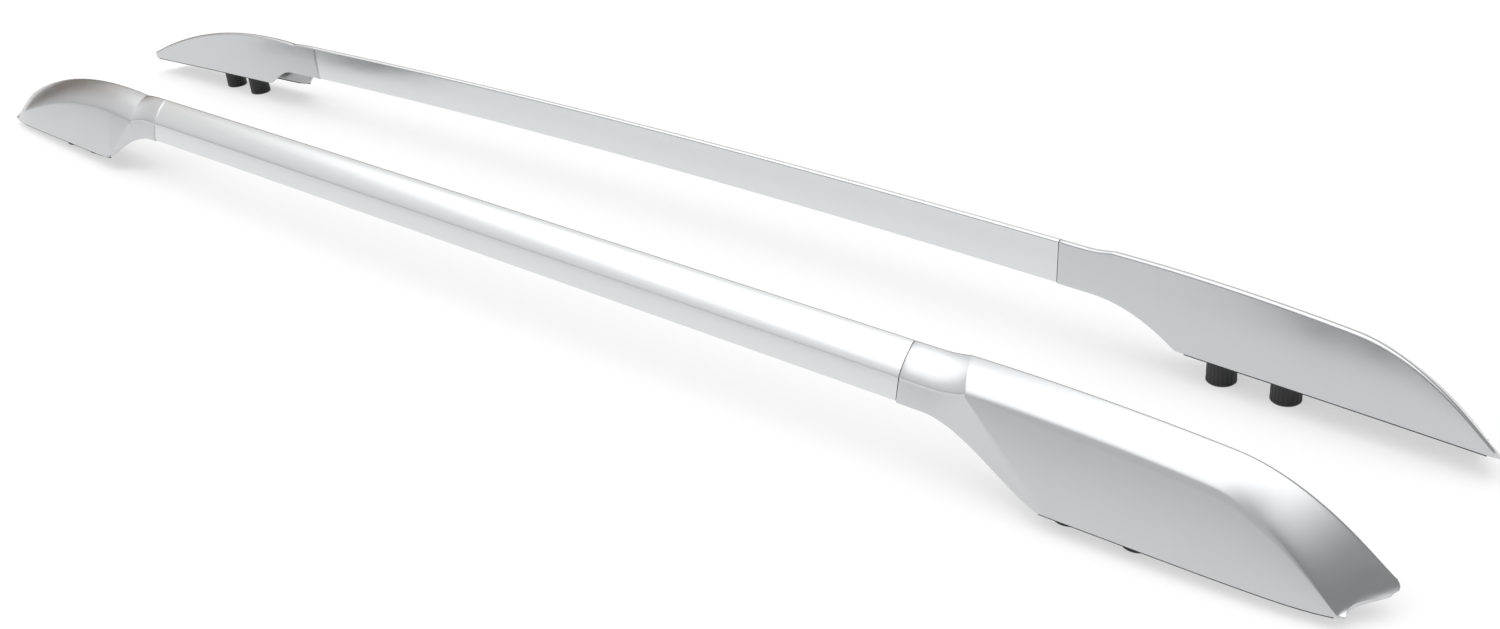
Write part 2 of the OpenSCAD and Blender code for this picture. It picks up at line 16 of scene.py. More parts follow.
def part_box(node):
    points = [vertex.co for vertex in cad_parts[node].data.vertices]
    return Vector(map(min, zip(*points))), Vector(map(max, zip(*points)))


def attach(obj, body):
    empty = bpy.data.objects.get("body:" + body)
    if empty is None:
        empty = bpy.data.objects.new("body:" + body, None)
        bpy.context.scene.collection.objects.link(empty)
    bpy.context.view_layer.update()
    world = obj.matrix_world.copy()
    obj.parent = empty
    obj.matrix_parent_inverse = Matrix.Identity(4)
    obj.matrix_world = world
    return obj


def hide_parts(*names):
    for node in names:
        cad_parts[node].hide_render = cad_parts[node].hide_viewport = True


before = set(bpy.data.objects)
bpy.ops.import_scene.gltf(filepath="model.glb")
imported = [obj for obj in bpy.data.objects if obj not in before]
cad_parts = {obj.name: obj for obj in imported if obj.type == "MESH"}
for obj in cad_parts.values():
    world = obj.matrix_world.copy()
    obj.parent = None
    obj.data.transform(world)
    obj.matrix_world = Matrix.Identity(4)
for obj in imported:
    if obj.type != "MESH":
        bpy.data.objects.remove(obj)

MM = 0.001
BODY = "root"
log = logging.getLogger("roof_rails")


class Side(Enum):
    """Which rail of the pair a piece belongs to, with the sign of its Y."""

    RIGHT = -1
    LEFT = 1

    @property
    def label(self) -> str:
        """The start of this side's node names."""
        return self.name.lower()


class End(Enum):
    """Which end of a rail a piece belongs to, with the sign of its X."""

    FRONT = 1
    REAR = -1

    @property
    def label(self) -> str:
        """The word for this end in node names."""
        return self.name.lower()


def clamp01(t: float) -> float:
    """Limits a value to the range from 0 to 1."""
    return max(0.0, min(1.0, t))


def mix(a: float, b: float, t: float) -> float:
    """Value between a and b at share t."""
    return a + (b - a) * t


def ease_in(t: float) -> float:
    """Starts level and leaves at a slope."""
    return clamp01(t) ** 2


def ease_out(t: float) -> float:
    """Starts at a slope and ends level."""
    return 1 - (1 - clamp01(t)) ** 2


def smooth(t: float) -> float:
    """Level at both ends."""
    return clamp01(t) ** 2 * (3 - 2 * clamp01(t))


def soft_min(a: float, b: float, k: float) -> float:
    """Smaller of two values, with the change between them rounded over k."""
    h = max(k - abs(a - b), 0) / k
    return min(a, b) - h * h * k / 4


@dataclass(frozen=True)
class RailCurve:
    """The large circle that a bar and its covers follow, and the way a section stands on it."""

    half_len: float = 900 * MM
    pair_gap: float = 173 * MM
    arch: float = 13.5 * MM
    bow: float = 15.5 * MM
    lean: float = radians(2.7)
    rake: float = radians(0.2)

    @property
    def sag(self) -> float:
        """Height of the arc over its chord."""
        return hypot(self.arch, self.bow)

    @property
    def radius(self) -> float:
        """Radius of the arc at the section's origin."""
        return (self.half_len ** 2 + self.sag ** 2) / (2 * self.sag)

    @property
    def plane(self) -> float:
        """Tilt of the arc's plane from upright towards the outside."""
        return atan2(self.bow, self.arch)

    def spot(self, x: float, u: float, z: float, side: Side) -> Vector:
        """Place of a section point.

        Args:
            x: Distance along the rail from its middle.
            u: Distance outward from the upright inner face.
            z: Height above the line through the rail's ends.
            side: The rail that the point is on.

        Returns:
            The point in the row's frame.
        """
        turn = asin(x / self.radius)
        face = self.plane - self.lean
        ring = self.radius + u * sin(face) + z * cos(face)
        axial = -u * cos(face) + z * sin(face)
        up = ring * cos(turn) - (self.radius - self.sag)
        along = ring * sin(turn)
        y = -self.pair_gap / 2 - up * sin(self.plane) + axial * cos(self.plane)
        level = up * cos(self.plane) + axial * sin(self.plane)
        return Vector((
            along * cos(self.rake) - level * sin(self.rake),
            -side.value * y,
            along * sin(self.rake) + level * cos(self.rake),
        ))


CURVE = RailCurve()


def arc(cu: float, cz: float, r: float, start: float, stop: float, steps: int) -> list[tuple[float, float]]:
    """Points of an arc in a section, from start to stop in degrees."""
    turns = [radians(mix(start, stop, i / steps)) for i in range(steps + 1)]
    return [(cu + r * cos(a), cz + r * sin(a)) for a in turns]


def new_bmesh_object(name: str, bm: bmesh.types.BMesh, slot: str, *nodes: str) -> bpy.types.Object:
    """Turns a bmesh into a shaded object that stands for CAD nodes.

    Args:
        name: The piece's name.
        bm: The finished bmesh, which is freed.
        slot: The record's material slot, which is not used.
        nodes: The CAD nodes that the piece replaces.

    Returns:
        The linked object, riding on the part's one body.
    """
    mesh = bpy.data.meshes.new(name)
    bm.to_mesh(mesh)
    bm.free()
    for face in mesh.polygons:
        face.use_smooth = True
    piece = bpy.data.objects.new(name, mesh)
    bpy.context.scene.collection.objects.link(piece)
    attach(piece, BODY)
    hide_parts(*nodes)
    log.info("%s: %d faces for %s", name, len(mesh.polygons), ", ".join(nodes))
    return piece


def round_edges(piece: bpy.types.Object, width: float, limit: float, segments: int) -> None:
    """Rounds a piece's sharp edges with a bevel modifier and keeps its flats flat.

    Args:
        piece: The object.
        width: Width of the rounding.
        limit: Smallest angle between faces, in degrees, that counts as an edge.
        segments: Faces across the rounding.
    """
    bevel = piece.modifiers.new("rounded edges", "BEVEL")
    bevel.width = width
    bevel.segments = segments
    bevel.limit_method = "ANGLE"
    bevel.angle_limit = radians(limit)
    bevel.harden_normals = True


class Loft:
    """A skin made by extruding one section along a rail and setting each new ring in place."""

    def __init__(self, bm: bmesh.types.BMesh, points: list[Vector], closed: bool) -> None:
        """Starts the skin with its first ring.

        Args:
            bm: The bmesh that gets the skin.
            points: The first ring's places.
            closed: Whether the ring's last point joins its first.
        """
        self.bm = bm
        self.ring = [bm.verts.new(p) for p in points]
        pairs = list(zip(self.ring, self.ring[1:]))
        if closed:
            pairs.append((self.ring[-1], self.ring[0]))
        self.edges = [bm.edges.new(pair) for pair in pairs]
        self.first_edges = list(self.edges)

    def extend(self, points: list[Vector]) -> None:
        """Extrudes the last ring and moves the new one to the given places.

        Args:
            points: The new ring's places, in the first ring's order.
        """
        made = bmesh.ops.extrude_edge_only(self.bm, edges=self.edges)["geom"]
        fresh = {g for g in made if isinstance(g, bmesh.types.BMVert)}
        partners = []
        for vert in self.ring:
            others = (edge.other_vert(vert) for edge in vert.link_edges)
            partners.append(next(o for o in others if o in fresh))
        for vert, place in zip(partners, points):
            vert.co = place
        self.edges = [e for e in made if isinstance(e, bmesh.types.BMEdge) and set(e.verts) <= fresh]
        self.ring = partners


def crown_points(
    start: float, top: float, shoulder: tuple[float, float], slope: float, crisp: float, steps: int,
) -> list[tuple[float, float]]:
    """Points of a crown that leaves a level top and meets a battered flank without a step.

    Args:
        start: Distance outward at which the crown begins.
        top: Height at which it begins.
        shoulder: Where it ends, as distance outward and height.
        slope: Inward run of the flank for each unit of height.
        crisp: Exponent of the curve: 1 is a chamfer and 2 an ellipse.
        steps: Number of points.

    Returns:
        The points after the start, the shoulder included.
    """
    height = top - shoulder[1]
    reach = shoulder[0] - slope * height - start
    points = []
    for i in range(1, steps + 1):
        a = pi / 2 * i / steps
        rise = height * max(cos(a), 0.0) ** (2 / crisp)
        out = shoulder[0] - slope * rise - reach * (1 - sin(a) ** (2 / crisp))
        points.append((out, shoulder[1] + rise))
    return points


@dataclass(frozen=True)
class BarSection:
    """The extruded bar's section: upright inner face, crown and a lower, battered outer face."""

    width: float = 31 * MM
    height: float = 39.5 * MM
    base: float = 46 * MM
    wall: float = 2.5 * MM
    edge_r: float = 2.6 * MM
    drop: float = 20.5 * MM
    batter: float = radians(17)
    low_r: float = 2 * MM
    least_r: float = 0.5 * MM
    crisp: float = 1.4
    crown_steps: int = 26
    edge_steps: int = 6

    @property
    def top(self) -> float:
        """Height of the bar's top above the end line."""
        return self.base + self.height

    @property
    def shoulder_u(self) -> float:
        """Distance of the shoulder from the inner face."""
        return self.width - tan(self.batter) * (self.height - self.drop)

    def outline(self, inset: float) -> list[tuple[float, float]]:
        """The section's closed outline.

        Args:
            inset: Distance of the outline behind the outer surface.

        Returns:
            The points as distance outward and height.
        """
        low = max(self.low_r - inset, self.least_r)
        high = max(self.edge_r - inset, self.least_r)
        slope = tan(self.batter)
        top = self.top - inset
        shoulder = (self.shoulder_u - inset / cos(self.batter), self.top - self.drop)
        low_z = self.base + inset + low
        low_u = self.width - slope * (inset + low) - (inset + low) / cos(self.batter)
        return (
            arc(inset + low, low_z, low, 270, 180, self.edge_steps)
            + arc(inset + high, top - high, high, 180, 90, self.edge_steps)
            + crown_points(inset + high, top, shoulder, slope, self.crisp, self.crown_steps)
            + arc(low_u, low_z, low, degrees(self.batter), -90, self.edge_steps)
        )


BAR = BarSection()


@dataclass(frozen=True)
class CoverShape:
    """Sizes of one end cover, with s as the distance from its joint with the bar."""

    end: End
    length: float
    # Inner and outer lower edges: their heights, where each starts to rise to the bar, and the rise's run
    edge_in: float
    edge_out: float
    corner_in: float
    corner_out: float
    arch_in: float
    arch_out: float
    soft_arch: float
    # The collar keeps the bar's own section, and from the kink on the cover has its flank
    collar: float
    kink: float
    # Top edge: its rise over the bar, the crown's place and fall, and the slope down the nose
    rise: float
    crown: float
    fall: float
    nose: float
    nose_slope: float
    nose_blend: float
    # Drop from the top to the shoulder, along the cover and at its tip
    drop: float
    tip_drop: float
    # Flank's taper and last pull-in, the tip's slant and wave, the crown's exponent and the kink's slant
    taper: float
    tip_cut: float
    skew: float
    wave: float
    crisp: float
    kink_skew: float
    tip_r: float
    base_width: float = 49 * MM
    batter: float = radians(20)
    wall: float = 2.2 * MM
    gap: float = 0.3 * MM
    least_r: float = 0.4 * MM
    corner_soft: float = 8 * MM
    # Tip: least flank, exponent of its crown and of its last pull-in, and the run of its wave
    tip_flank: float = 1.5 * MM
    tip_crisp: float = 1.05
    tip_cut_power: int = 10
    wave_run: float = 16 * MM
    # Where the change to the tip's drop and slant starts, ahead of the nose, and over what run
    drop_lead: float = 20 * MM
    drop_run: float = 75 * MM
    skew_lead: float = 50 * MM
    skew_run: float = 60 * MM
    # Bulge of the flank as a share of its height, and the set-back of the skin at the joint
    flank_bulge: float = 0.009
    lip_depth: float = 0.5 * MM
    lip_run: float = 1.8 * MM
    # Shares of the way down the flank at which the crease starts and ends, and its points lie
    crease_ends: tuple[float, float] = (0.03, 0.97)
    upper_flank: tuple[float, ...] = (0.1, 0.25, 0.4, 0.55, 0.7, 0.85, 0.98)
    lower_flank: tuple[float, ...] = (0.02, 0.1, 0.5, 0.9, 1.0)
    # Rings: the half widths of the close ones at the kink and the corner, and the counts by stretch
    kink_half: float = 1 * MM
    corner_half: float = 2 * MM
    nose_lead: float = 30 * MM
    ring_counts: tuple[int, ...] = (3, 4, 16, 2, 24, 2, 20, 28, 10)

    @property
    def joint_x(self) -> float:
        """Distance of the joint from the rail's middle."""
        return CURVE.half_len - self.length

    def collar_t(self, s: float) -> float:
        """Share of the way from the collar to the kink."""
        return (s - self.collar) / (self.kink - self.collar)

    def main_rise(self, s: float) -> float:
        """Height of the top over the bar's top, from the kink to the tip.

        Args:
            s: Distance from the joint.

        Returns:
            The softened lower one of the crown's curve and the nose's slope.
        """
        k = self.fall / (self.length - self.crown) ** 2
        crown = self.rise - k * (s - self.crown) ** 2
        nose = -self.nose_slope * (s - self.nose)
        return soft_min(crown, nose, self.nose_blend)

    def top_z(self, s: float) -> float:
        """Height of the top edge.

        Args:
            s: Distance from the joint.

        Returns:
            The height above the line through the rail's ends.
        """
        if s < self.kink:
            return BAR.top + self.main_rise(self.kink) * ease_in(self.collar_t(s))
        return BAR.top + self.main_rise(s)

    def inner_edge_z(self, s: float) -> float:
        """Height of the inner face's lower edge."""
        return mix(self.edge_in, BAR.base, ease_out((self.corner_in - s) / self.arch_in))

    def outer_edge_z(self, s: float) -> float:
        """Height of the outer flank's lower edge.

        Args:
            s: Distance from the joint.

        Returns:
            The height above the line through the rail's ends.
        """
        t = (self.corner_out - s) / self.arch_out
        reach = BAR.base - self.edge_out
        rounded = -soft_min(0.0, (1 - min(t, 1.0)) ** 2 - 1, self.corner_soft / reach)
        return self.edge_out + reach * mix(rounded, smooth(t), self.soft_arch)

    def tip_t(self, s: float) -> float:
        """Share of the way from the outer corner to the tip."""
        return clamp01((s - self.corner_out) / (self.length - self.corner_out))

    def base_w(self, s: float) -> float:
        """Width at the lower edge, where the cover has its full width."""
        t = self.tip_t(s)
        return self.base_width - self.taper * t - self.tip_cut * t ** self.tip_cut_power

    def drop_at(self, s: float) -> float:
        """Drop from the top to the shoulder.

        Args:
            s: Distance from the joint.

        Returns:
            The drop, which leaves a low flank at the tip.
        """
        from_bar = mix(BAR.drop, self.drop, ease_in(self.collar_t(s)))
        to_tip = mix(from_bar, self.tip_drop, smooth((s - self.nose + self.drop_lead) / self.drop_run))
        return min(to_tip, self.top_z(s) - self.edge_out - self.tip_flank)

    def shoulder_z(self, s: float) -> float:
        """Height of the shoulder, where the crown meets the flank."""
        return self.top_z(s) - self.drop_at(s)

    def flank_u(self, s: float, z: float) -> float:
        """Place of the battered flank at height z."""
        return self.base_w(s) - tan(self.batter) * (z - self.edge_out)

    def shoulder_u(self, s: float) -> float:
        """Distance of the shoulder from the inner face."""
        full = max(s, self.kink)
        return mix(BAR.shoulder_u, self.flank_u(full, self.shoulder_z(full)), ease_in(self.collar_t(s)))

    def edge_u(self, s: float) -> float:
        """Distance of the outer lower edge from the inner face."""
        t = (s - self.collar) / (self.corner_out - self.collar)
        return mix(BAR.width, self.base_w(s), ease_in(t))

    def crease(self, s: float) -> tuple[float, float]:
        """Place of the crease that runs from the shoulder's kink down to the outer corner.

        Args:
            s: Distance from the joint.

        Returns:
            The place as distance outward and height.
        """
        t = mix(*self.crease_ends, clamp01((s - self.kink) / (self.corner_out - self.kink)))
        z = mix(self.shoulder_z(s), self.outer_edge_z(max(s, self.corner_out)), t)
        if s < self.kink:
            return mix(self.shoulder_u(s), self.edge_u(s), self.crease_ends[0]), z
        return self.flank_u(s, z), z

    def section(self, s: float, inset: float) -> list[tuple[float, float]]:
        """Open section at s, from the inner lower edge over the top to the outer one.

        Args:
            s: Distance from the joint.
            inset: Distance of the skin behind the outer surface.

        Returns:
            The section's points as distance outward and height.
        """
        top = self.top_z(s)
        low = self.inner_edge_z(s)
        r = min(BAR.edge_r, (top - low) / 2)
        r_in = max(r - inset, self.least_r)
        shoulder = (self.shoulder_u(s), self.shoulder_z(s))
        blend = ease_in(self.collar_t(s))
        crisp = mix(mix(BAR.crisp, self.crisp, blend), self.tip_crisp, self.tip_blend(s))
        crown = crown_points(
            inset + r_in, top - inset, (shoulder[0] - inset, shoulder[1]),
            tan(mix(BAR.batter, self.batter, blend)), crisp, BAR.crown_steps,
        )
        crease = self.crease(s)
        foot = (self.edge_u(s), self.outer_edge_z(s))
        flank = []
        for start, stop, shares in ((shoulder, crease, self.upper_flank), (crease, foot, self.lower_flank)):
            for t in shares:
                z = mix(start[1], stop[1], t)
                share = (shoulder[1] - z) / (shoulder[1] - foot[1])
                bulge = 4 * self.flank_bulge * (shoulder[1] - foot[1]) * share * (1 - share)
                flank.append((mix(start[0], stop[0], t) + bulge - inset, z))
        return (
            [(inset, low), (inset, mix(low, top - r, 0.5))]
            + arc(inset + r_in, top - inset - r_in, r_in, 180, 90, BAR.edge_steps)
            + crown
            + flank
        )

    def ring(self, s: float, inset: float, side: Side, at_foot: bool = False) -> list[Vector]:
        """Places of the section's points: the kink slants and the tip is trimmed along a wave.

        Args:
            s: Distance from the joint.
            inset: Distance of the skin behind the outer surface.
            side: The rail's side of the car.
            at_foot: Whether the points drop to the line between the two lower edges.

        Returns:
            The places, from the inner lower edge over the top to the outer one.
        """
        blend = smooth((s - self.nose + self.skew_lead) / self.skew_run)
        tip_blend = self.tip_blend(s)
        slant = self.kink_skew * self.kink_share(s)
        low, high = self.outer_edge_z(s), self.shoulder_z(s)
        if inset == 0:
            inset = self.lip_depth * clamp01(1 - s / self.lip_run)
        section = self.section(s, inset)
        places = []
        for i, (u, z) in enumerate(section):
            v = u / self.base_w(s)
            ahead = slant * v * clamp01((z - low) / (high - low))
            cut = (self.wave * sin(2 * pi * v) + self.corner_cut(u)) * tip_blend
            if tip_blend > 0:
                u, z = self.section(s - cut, inset)[i]
            if at_foot:
                z = mix(section[0][1], section[-1][1], clamp01(v))
            x = self.joint_x + s + ahead - self.skew * v * blend - cut
            places.append(CURVE.spot(self.end.value * x, u, z, side))
        return places

    def tip_blend(self, s: float) -> float:
        """Share of the tip's own form at s: none until the wave begins, whole at the end."""
        return smooth((s - self.length + self.wave_run) / self.wave_run)

    def kink_share(self, s: float) -> float:
        """Share of the kink's slant.

        Args:
            s: Distance from the joint.

        Returns:
            The share, whole at the kink itself and none at the joint and the corner.
        """
        if s < self.kink:
            return smooth(s / self.kink)
        return 1 - smooth((s - self.kink) / (self.corner_out - self.kink))

    def corner_cut(self, u: float) -> float:
        """Setback that rounds the tip's inner corner in plan."""
        lack = max(self.tip_r - u, 0.0)
        return self.tip_r - (self.tip_r ** 2 - lack ** 2) ** 0.5

    def stations(self) -> list[float]:
        """Distances of the rings from the joint, closer where the shape turns.

        Returns:
            The distances in order.
        """
        marks = [
            self.gap, self.lip_run, self.collar,
            self.kink - self.kink_half, self.kink + self.kink_half,
            self.corner_out - self.corner_half, self.corner_out + self.corner_half,
            self.nose - self.nose_lead, self.length - self.wave_run, self.length,
        ]
        rings = []
        for start, stop, count in zip(marks, marks[1:], self.ring_counts):
            rings += [mix(start, stop, i / count) for i in range(count)]
        return rings + [self.length]


FRONT_LENGTH = 370 * MM
FRONT_COVER = CoverShape(
    end=End.FRONT, length=FRONT_LENGTH,
    edge_in=18.5 * MM, edge_out=8 * MM,
    corner_in=113 * MM, corner_out=133 * MM,
    arch_in=80 * MM, arch_out=110 * MM, soft_arch=1,
    collar=24 * MM, kink=49.5 * MM,
    rise=3.3 * MM, crown=82 * MM, fall=19.1 * MM,
    nose=FRONT_LENGTH - 79 * MM, nose_slope=0.82, nose_blend=34 * MM,
    drop=17.3 * MM, tip_drop=15.5 * MM,
    taper=2 * MM, tip_cut=8 * MM,
    skew=20 * MM, wave=-4.5 * MM, crisp=1.35, kink_skew=19 * MM, tip_r=5 * MM,
)
REAR_LENGTH = 382 * MM
REAR_COVER = CoverShape(
    end=End.REAR, length=REAR_LENGTH,
    edge_in=25 * MM, edge_out=12 * MM,
    corner_in=107 * MM, corner_out=96 * MM,
    arch_in=50 * MM, arch_out=90 * MM, soft_arch=0,
    collar=18 * MM, kink=46 * MM,
    rise=0.6 * MM, crown=104 * MM, fall=55 * MM,
    nose=REAR_LENGTH - 14 * MM, nose_slope=4.1, nose_blend=10 * MM,
    drop=22 * MM, tip_drop=22 * MM,
    taper=6 * MM, tip_cut=5 * MM,
    skew=14 * MM, wave=0, crisp=1.5, kink_skew=8 * MM, tip_r=7 * MM,
)


def srgb(code: str) -> tuple[float, float, float, float]:
    """Turns a hex colour into a linear one.

    Args:
        code: The sRGB colour, such as #c8cacc.

    Returns:
        Linear red, green, blue and alpha.
    """
    shares = [int(code[i:i + 2], 16) / 255 for i in (1, 3, 5)]
    linear = [c / 12.92 if c <= 0.04045 else ((c + 0.055) / 1.055) ** 2.4 for c in shares]
    return (*linear, 1.0)


# Sockets of a Mix node for colours, which has its names several times over
MIX_A = 6
MIX_B = 7
MIX_RESULT = 2

# Octaves of a noise pattern
EVEN_NOISE = 1.0
MIXED_NOISE = 2.0
RICH_NOISE = 3.0


def add_node(tree: bpy.types.NodeTree, kind: str, settings: dict, links: dict) -> bpy.types.Node:
    """Adds one node to a material's tree.

    Args:
        tree: The tree that gets the node.
        kind: The node's type name.
        settings: Attributes by name, or socket values by the socket's name or number.
        links: Output sockets by the name or number of the input that each one feeds.

    Returns:
        The new node.
    """
    node = tree.nodes.new(kind)
    for key, value in settings.items():
        if isinstance(key, str) and hasattr(node, key):
            setattr(node, key, value)
        else:
            node.inputs[key].default_value = value
    for key, output in links.items():
        tree.links.new(output, node.inputs[key])
    return node


def new_material(name: str) -> tuple[bpy.types.Material, bpy.types.NodeTree, bpy.types.Node]:
    """Makes a material with an empty tree and a linked output.

    Args:
        name: The material's name.

    Returns:
        The material, its tree and its output node.
    """
    material = bpy.data.materials.new(name)
    material.use_nodes = True
    tree = material.node_tree
    tree.nodes.clear()
    return material, tree, tree.nodes.new("ShaderNodeOutputMaterial")


def per_mm(size_mm: float) -> float:
    """Scale of a pattern on Object coordinates whose features are size_mm across."""
    return 1 / (size_mm * MM)


@dataclass(frozen=True)
class AnodisedAluminium:
    """Extruded bar, satin anodised: faint die lines along the bar under an even, soft sheen."""

    colour: str = "#dddedf"
    line_colour: str = "#d5d7d8"
    roughness: tuple[float, float] = (0.19, 0.26)
    # Real die lines and grain are near 0.1 mm and are drawn coarser here, so that they show
    die_line_mm: float = 0.9
    die_line_run_mm: float = 160
    grain_mm: float = 0.5
    grain_depth_mm: float = 0.012
    grain_strength: float = 0.25

    def material(self) -> bpy.types.Material:
        """Builds the material.

        Returns:
            The material.
        """
        made, tree, output = new_material("satin anodised aluminium")
        place = add_node(tree, "ShaderNodeTexCoord", {}, {})
        run = per_mm(self.die_line_run_mm)
        across = per_mm(self.die_line_mm)
        along = add_node(tree, "ShaderNodeMapping", {"Scale": (run, across, across)},
                         {"Vector": place.outputs["Object"]})
        lines = add_node(tree, "ShaderNodeTexNoise", {"Scale": 1.0, "Detail": MIXED_NOISE},
                         {"Vector": along.outputs["Vector"]})
        colour = add_node(
            tree, "ShaderNodeMix",
            {"data_type": "RGBA", MIX_A: srgb(self.line_colour), MIX_B: srgb(self.colour)},
            {0: lines.outputs["Fac"]})
        rough = add_node(tree, "ShaderNodeMapRange",
                         {"To Min": self.roughness[0], "To Max": self.roughness[1]},
                         {"Value": lines.outputs["Fac"]})
        grain = add_node(tree, "ShaderNodeTexNoise",
                         {"Scale": per_mm(self.grain_mm), "Detail": EVEN_NOISE},
                         {"Vector": place.outputs["Object"]})
        bump = add_node(tree, "ShaderNodeBump",
                        {"Strength": self.grain_strength, "Distance": self.grain_depth_mm * MM},
                        {"Height": grain.outputs["Fac"]})
        shader = add_node(tree, "ShaderNodeBsdfPrincipled", {"Metallic": 1.0},
                          {"Base Color": colour.outputs[MIX_RESULT], "Roughness": rough.outputs["Result"],
                           "Normal": bump.outputs["Normal"]})
        tree.links.new(shader.outputs["BSDF"], output.inputs["Surface"])
        return made


@dataclass(frozen=True)
class SilverPaint:
    """Moulded plastic sprayed in satin silver: fine metal flake in a smooth, slightly milky film."""

    colour: str = "#c2c3c5"
    flake_colour: str = "#cccdce"
    roughness: tuple[float, float] = (0.22, 0.28)
    metallic: float = 0.9
    coat: float = 0.12
    coat_roughness: float = 0.25
    # Real flake is near 0.05 mm and is drawn coarser here, so that it shows
    flake_mm: float = 0.55
    flake_reach: float = 0.7
    flake_share: float = 0.5
    flake_depth_mm: float = 0.01
    flake_strength: float = 0.2
    mottle_mm: float = 30

    def material(self) -> bpy.types.Material:
        """Builds the material.

        Returns:
            The material.
        """
        made, tree, output = new_material("silver paint on plastic")
        place = add_node(tree, "ShaderNodeTexCoord", {}, {})
        flakes = add_node(tree, "ShaderNodeTexVoronoi", {"Scale": per_mm(self.flake_mm)},
                          {"Vector": place.outputs["Object"]})
        mottle = add_node(tree, "ShaderNodeTexNoise",
                          {"Scale": per_mm(self.mottle_mm), "Detail": RICH_NOISE},
                          {"Vector": place.outputs["Object"]})
        share = add_node(tree, "ShaderNodeMapRange",
                         {"From Max": self.flake_reach, "To Max": self.flake_share},
                         {"Value": flakes.outputs["Distance"]})
        colour = add_node(
            tree, "ShaderNodeMix",
            {"data_type": "RGBA", MIX_A: srgb(self.flake_colour), MIX_B: srgb(self.colour)},
            {0: share.outputs["Result"]})
        rough = add_node(tree, "ShaderNodeMapRange",
                         {"To Min": self.roughness[0], "To Max": self.roughness[1]},
                         {"Value": mottle.outputs["Fac"]})
        bump = add_node(tree, "ShaderNodeBump",
                        {"Strength": self.flake_strength, "Distance": self.flake_depth_mm * MM},
                        {"Height": flakes.outputs["Distance"]})
        shader = add_node(tree, "ShaderNodeBsdfPrincipled",
                          {"Metallic": self.metallic, "Coat Weight": self.coat,
                           "Coat Roughness": self.coat_roughness},
                          {"Base Color": colour.outputs[MIX_RESULT], "Roughness": rough.outputs["Result"],
                           "Normal": bump.outputs["Normal"]})
        tree.links.new(shader.outputs["BSDF"], output.inputs["Surface"])
        return made


@dataclass(frozen=True)
class MouldedRubber:
    """Moulded black rubber: nearly black, a broad dull sheen and a fine pitted skin."""

    name: str = "black moulded rubber"
    colour: str = "#131415"
    worn_colour: str = "#222325"
    roughness: float = 0.5
    ior: float = 1.52
    pit_mm: float = 0.8
    pit_depth_mm: float = 0.05
    pit_strength: float = 0.5
    bloom_mm: float = 9

    def material(self) -> bpy.types.Material:
        """Builds the material.

        Returns:
            The material.
        """
        made, tree, output = new_material(self.name)
        place = add_node(tree, "ShaderNodeTexCoord", {}, {})
        pits = add_node(tree, "ShaderNodeTexNoise",
                        {"Scale": per_mm(self.pit_mm), "Detail": MIXED_NOISE},
                        {"Vector": place.outputs["Object"]})
        bloom = add_node(tree, "ShaderNodeTexNoise",
                         {"Scale": per_mm(self.bloom_mm), "Detail": RICH_NOISE},
                         {"Vector": place.outputs["Object"]})
        colour = add_node(
            tree, "ShaderNodeMix",
            {"data_type": "RGBA", MIX_A: srgb(self.colour), MIX_B: srgb(self.worn_colour)},
            {0: bloom.outputs["Fac"]})
        bump = add_node(tree, "ShaderNodeBump",
                        {"Strength": self.pit_strength, "Distance": self.pit_depth_mm * MM},
                        {"Height": pits.outputs["Fac"]})
        shader = add_node(tree, "ShaderNodeBsdfPrincipled",
                          {"Roughness": self.roughness, "IOR": self.ior},
                          {"Base Color": colour.outputs[MIX_RESULT], "Normal": bump.outputs["Normal"]})
        tree.links.new(shader.outputs["BSDF"], output.inputs["Surface"])
        return made


@dataclass(frozen=True)
class PlainMetal:
    """Metal with a fine, even grain: a die casting's sandy skin or a zinc-plated turned part."""

    name: str
    colour: str
    dull_colour: str
    roughness: float
    grain_mm: float
    grain_depth_mm: float
    grain_strength: float = 0.5

    def material(self) -> bpy.types.Material:
        """Builds the material.

        Returns:
            The material.
        """
        made, tree, output = new_material(self.name)
        place = add_node(tree, "ShaderNodeTexCoord", {}, {})
        grain = add_node(tree, "ShaderNodeTexNoise",
                         {"Scale": per_mm(self.grain_mm), "Detail": RICH_NOISE},
                         {"Vector": place.outputs["Object"]})
        colour = add_node(
            tree, "ShaderNodeMix",
            {"data_type": "RGBA", MIX_A: srgb(self.dull_colour), MIX_B: srgb(self.colour)},
            {0: grain.outputs["Fac"]})
        bump = add_node(tree, "ShaderNodeBump",
                        {"Strength": self.grain_strength, "Distance": self.grain_depth_mm * MM},
                        {"Height": grain.outputs["Fac"]})
        shader = add_node(tree, "ShaderNodeBsdfPrincipled",
                          {"Metallic": 1.0, "Roughness": self.roughness},
                          {"Base Color": colour.outputs[MIX_RESULT], "Normal": bump.outputs["Normal"]})
        tree.links.new(shader.outputs["BSDF"], output.inputs["Surface"])
        return made


DIE_CASTING = PlainMetal("die-cast aluminium", "#b4b5b7", "#9c9da0", 0.5, 0.7, 0.05)
ZINC_STEEL = PlainMetal("zinc-plated steel", "#b9b9b4", "#a3a39f", 0.32, 0.4, 0.02)


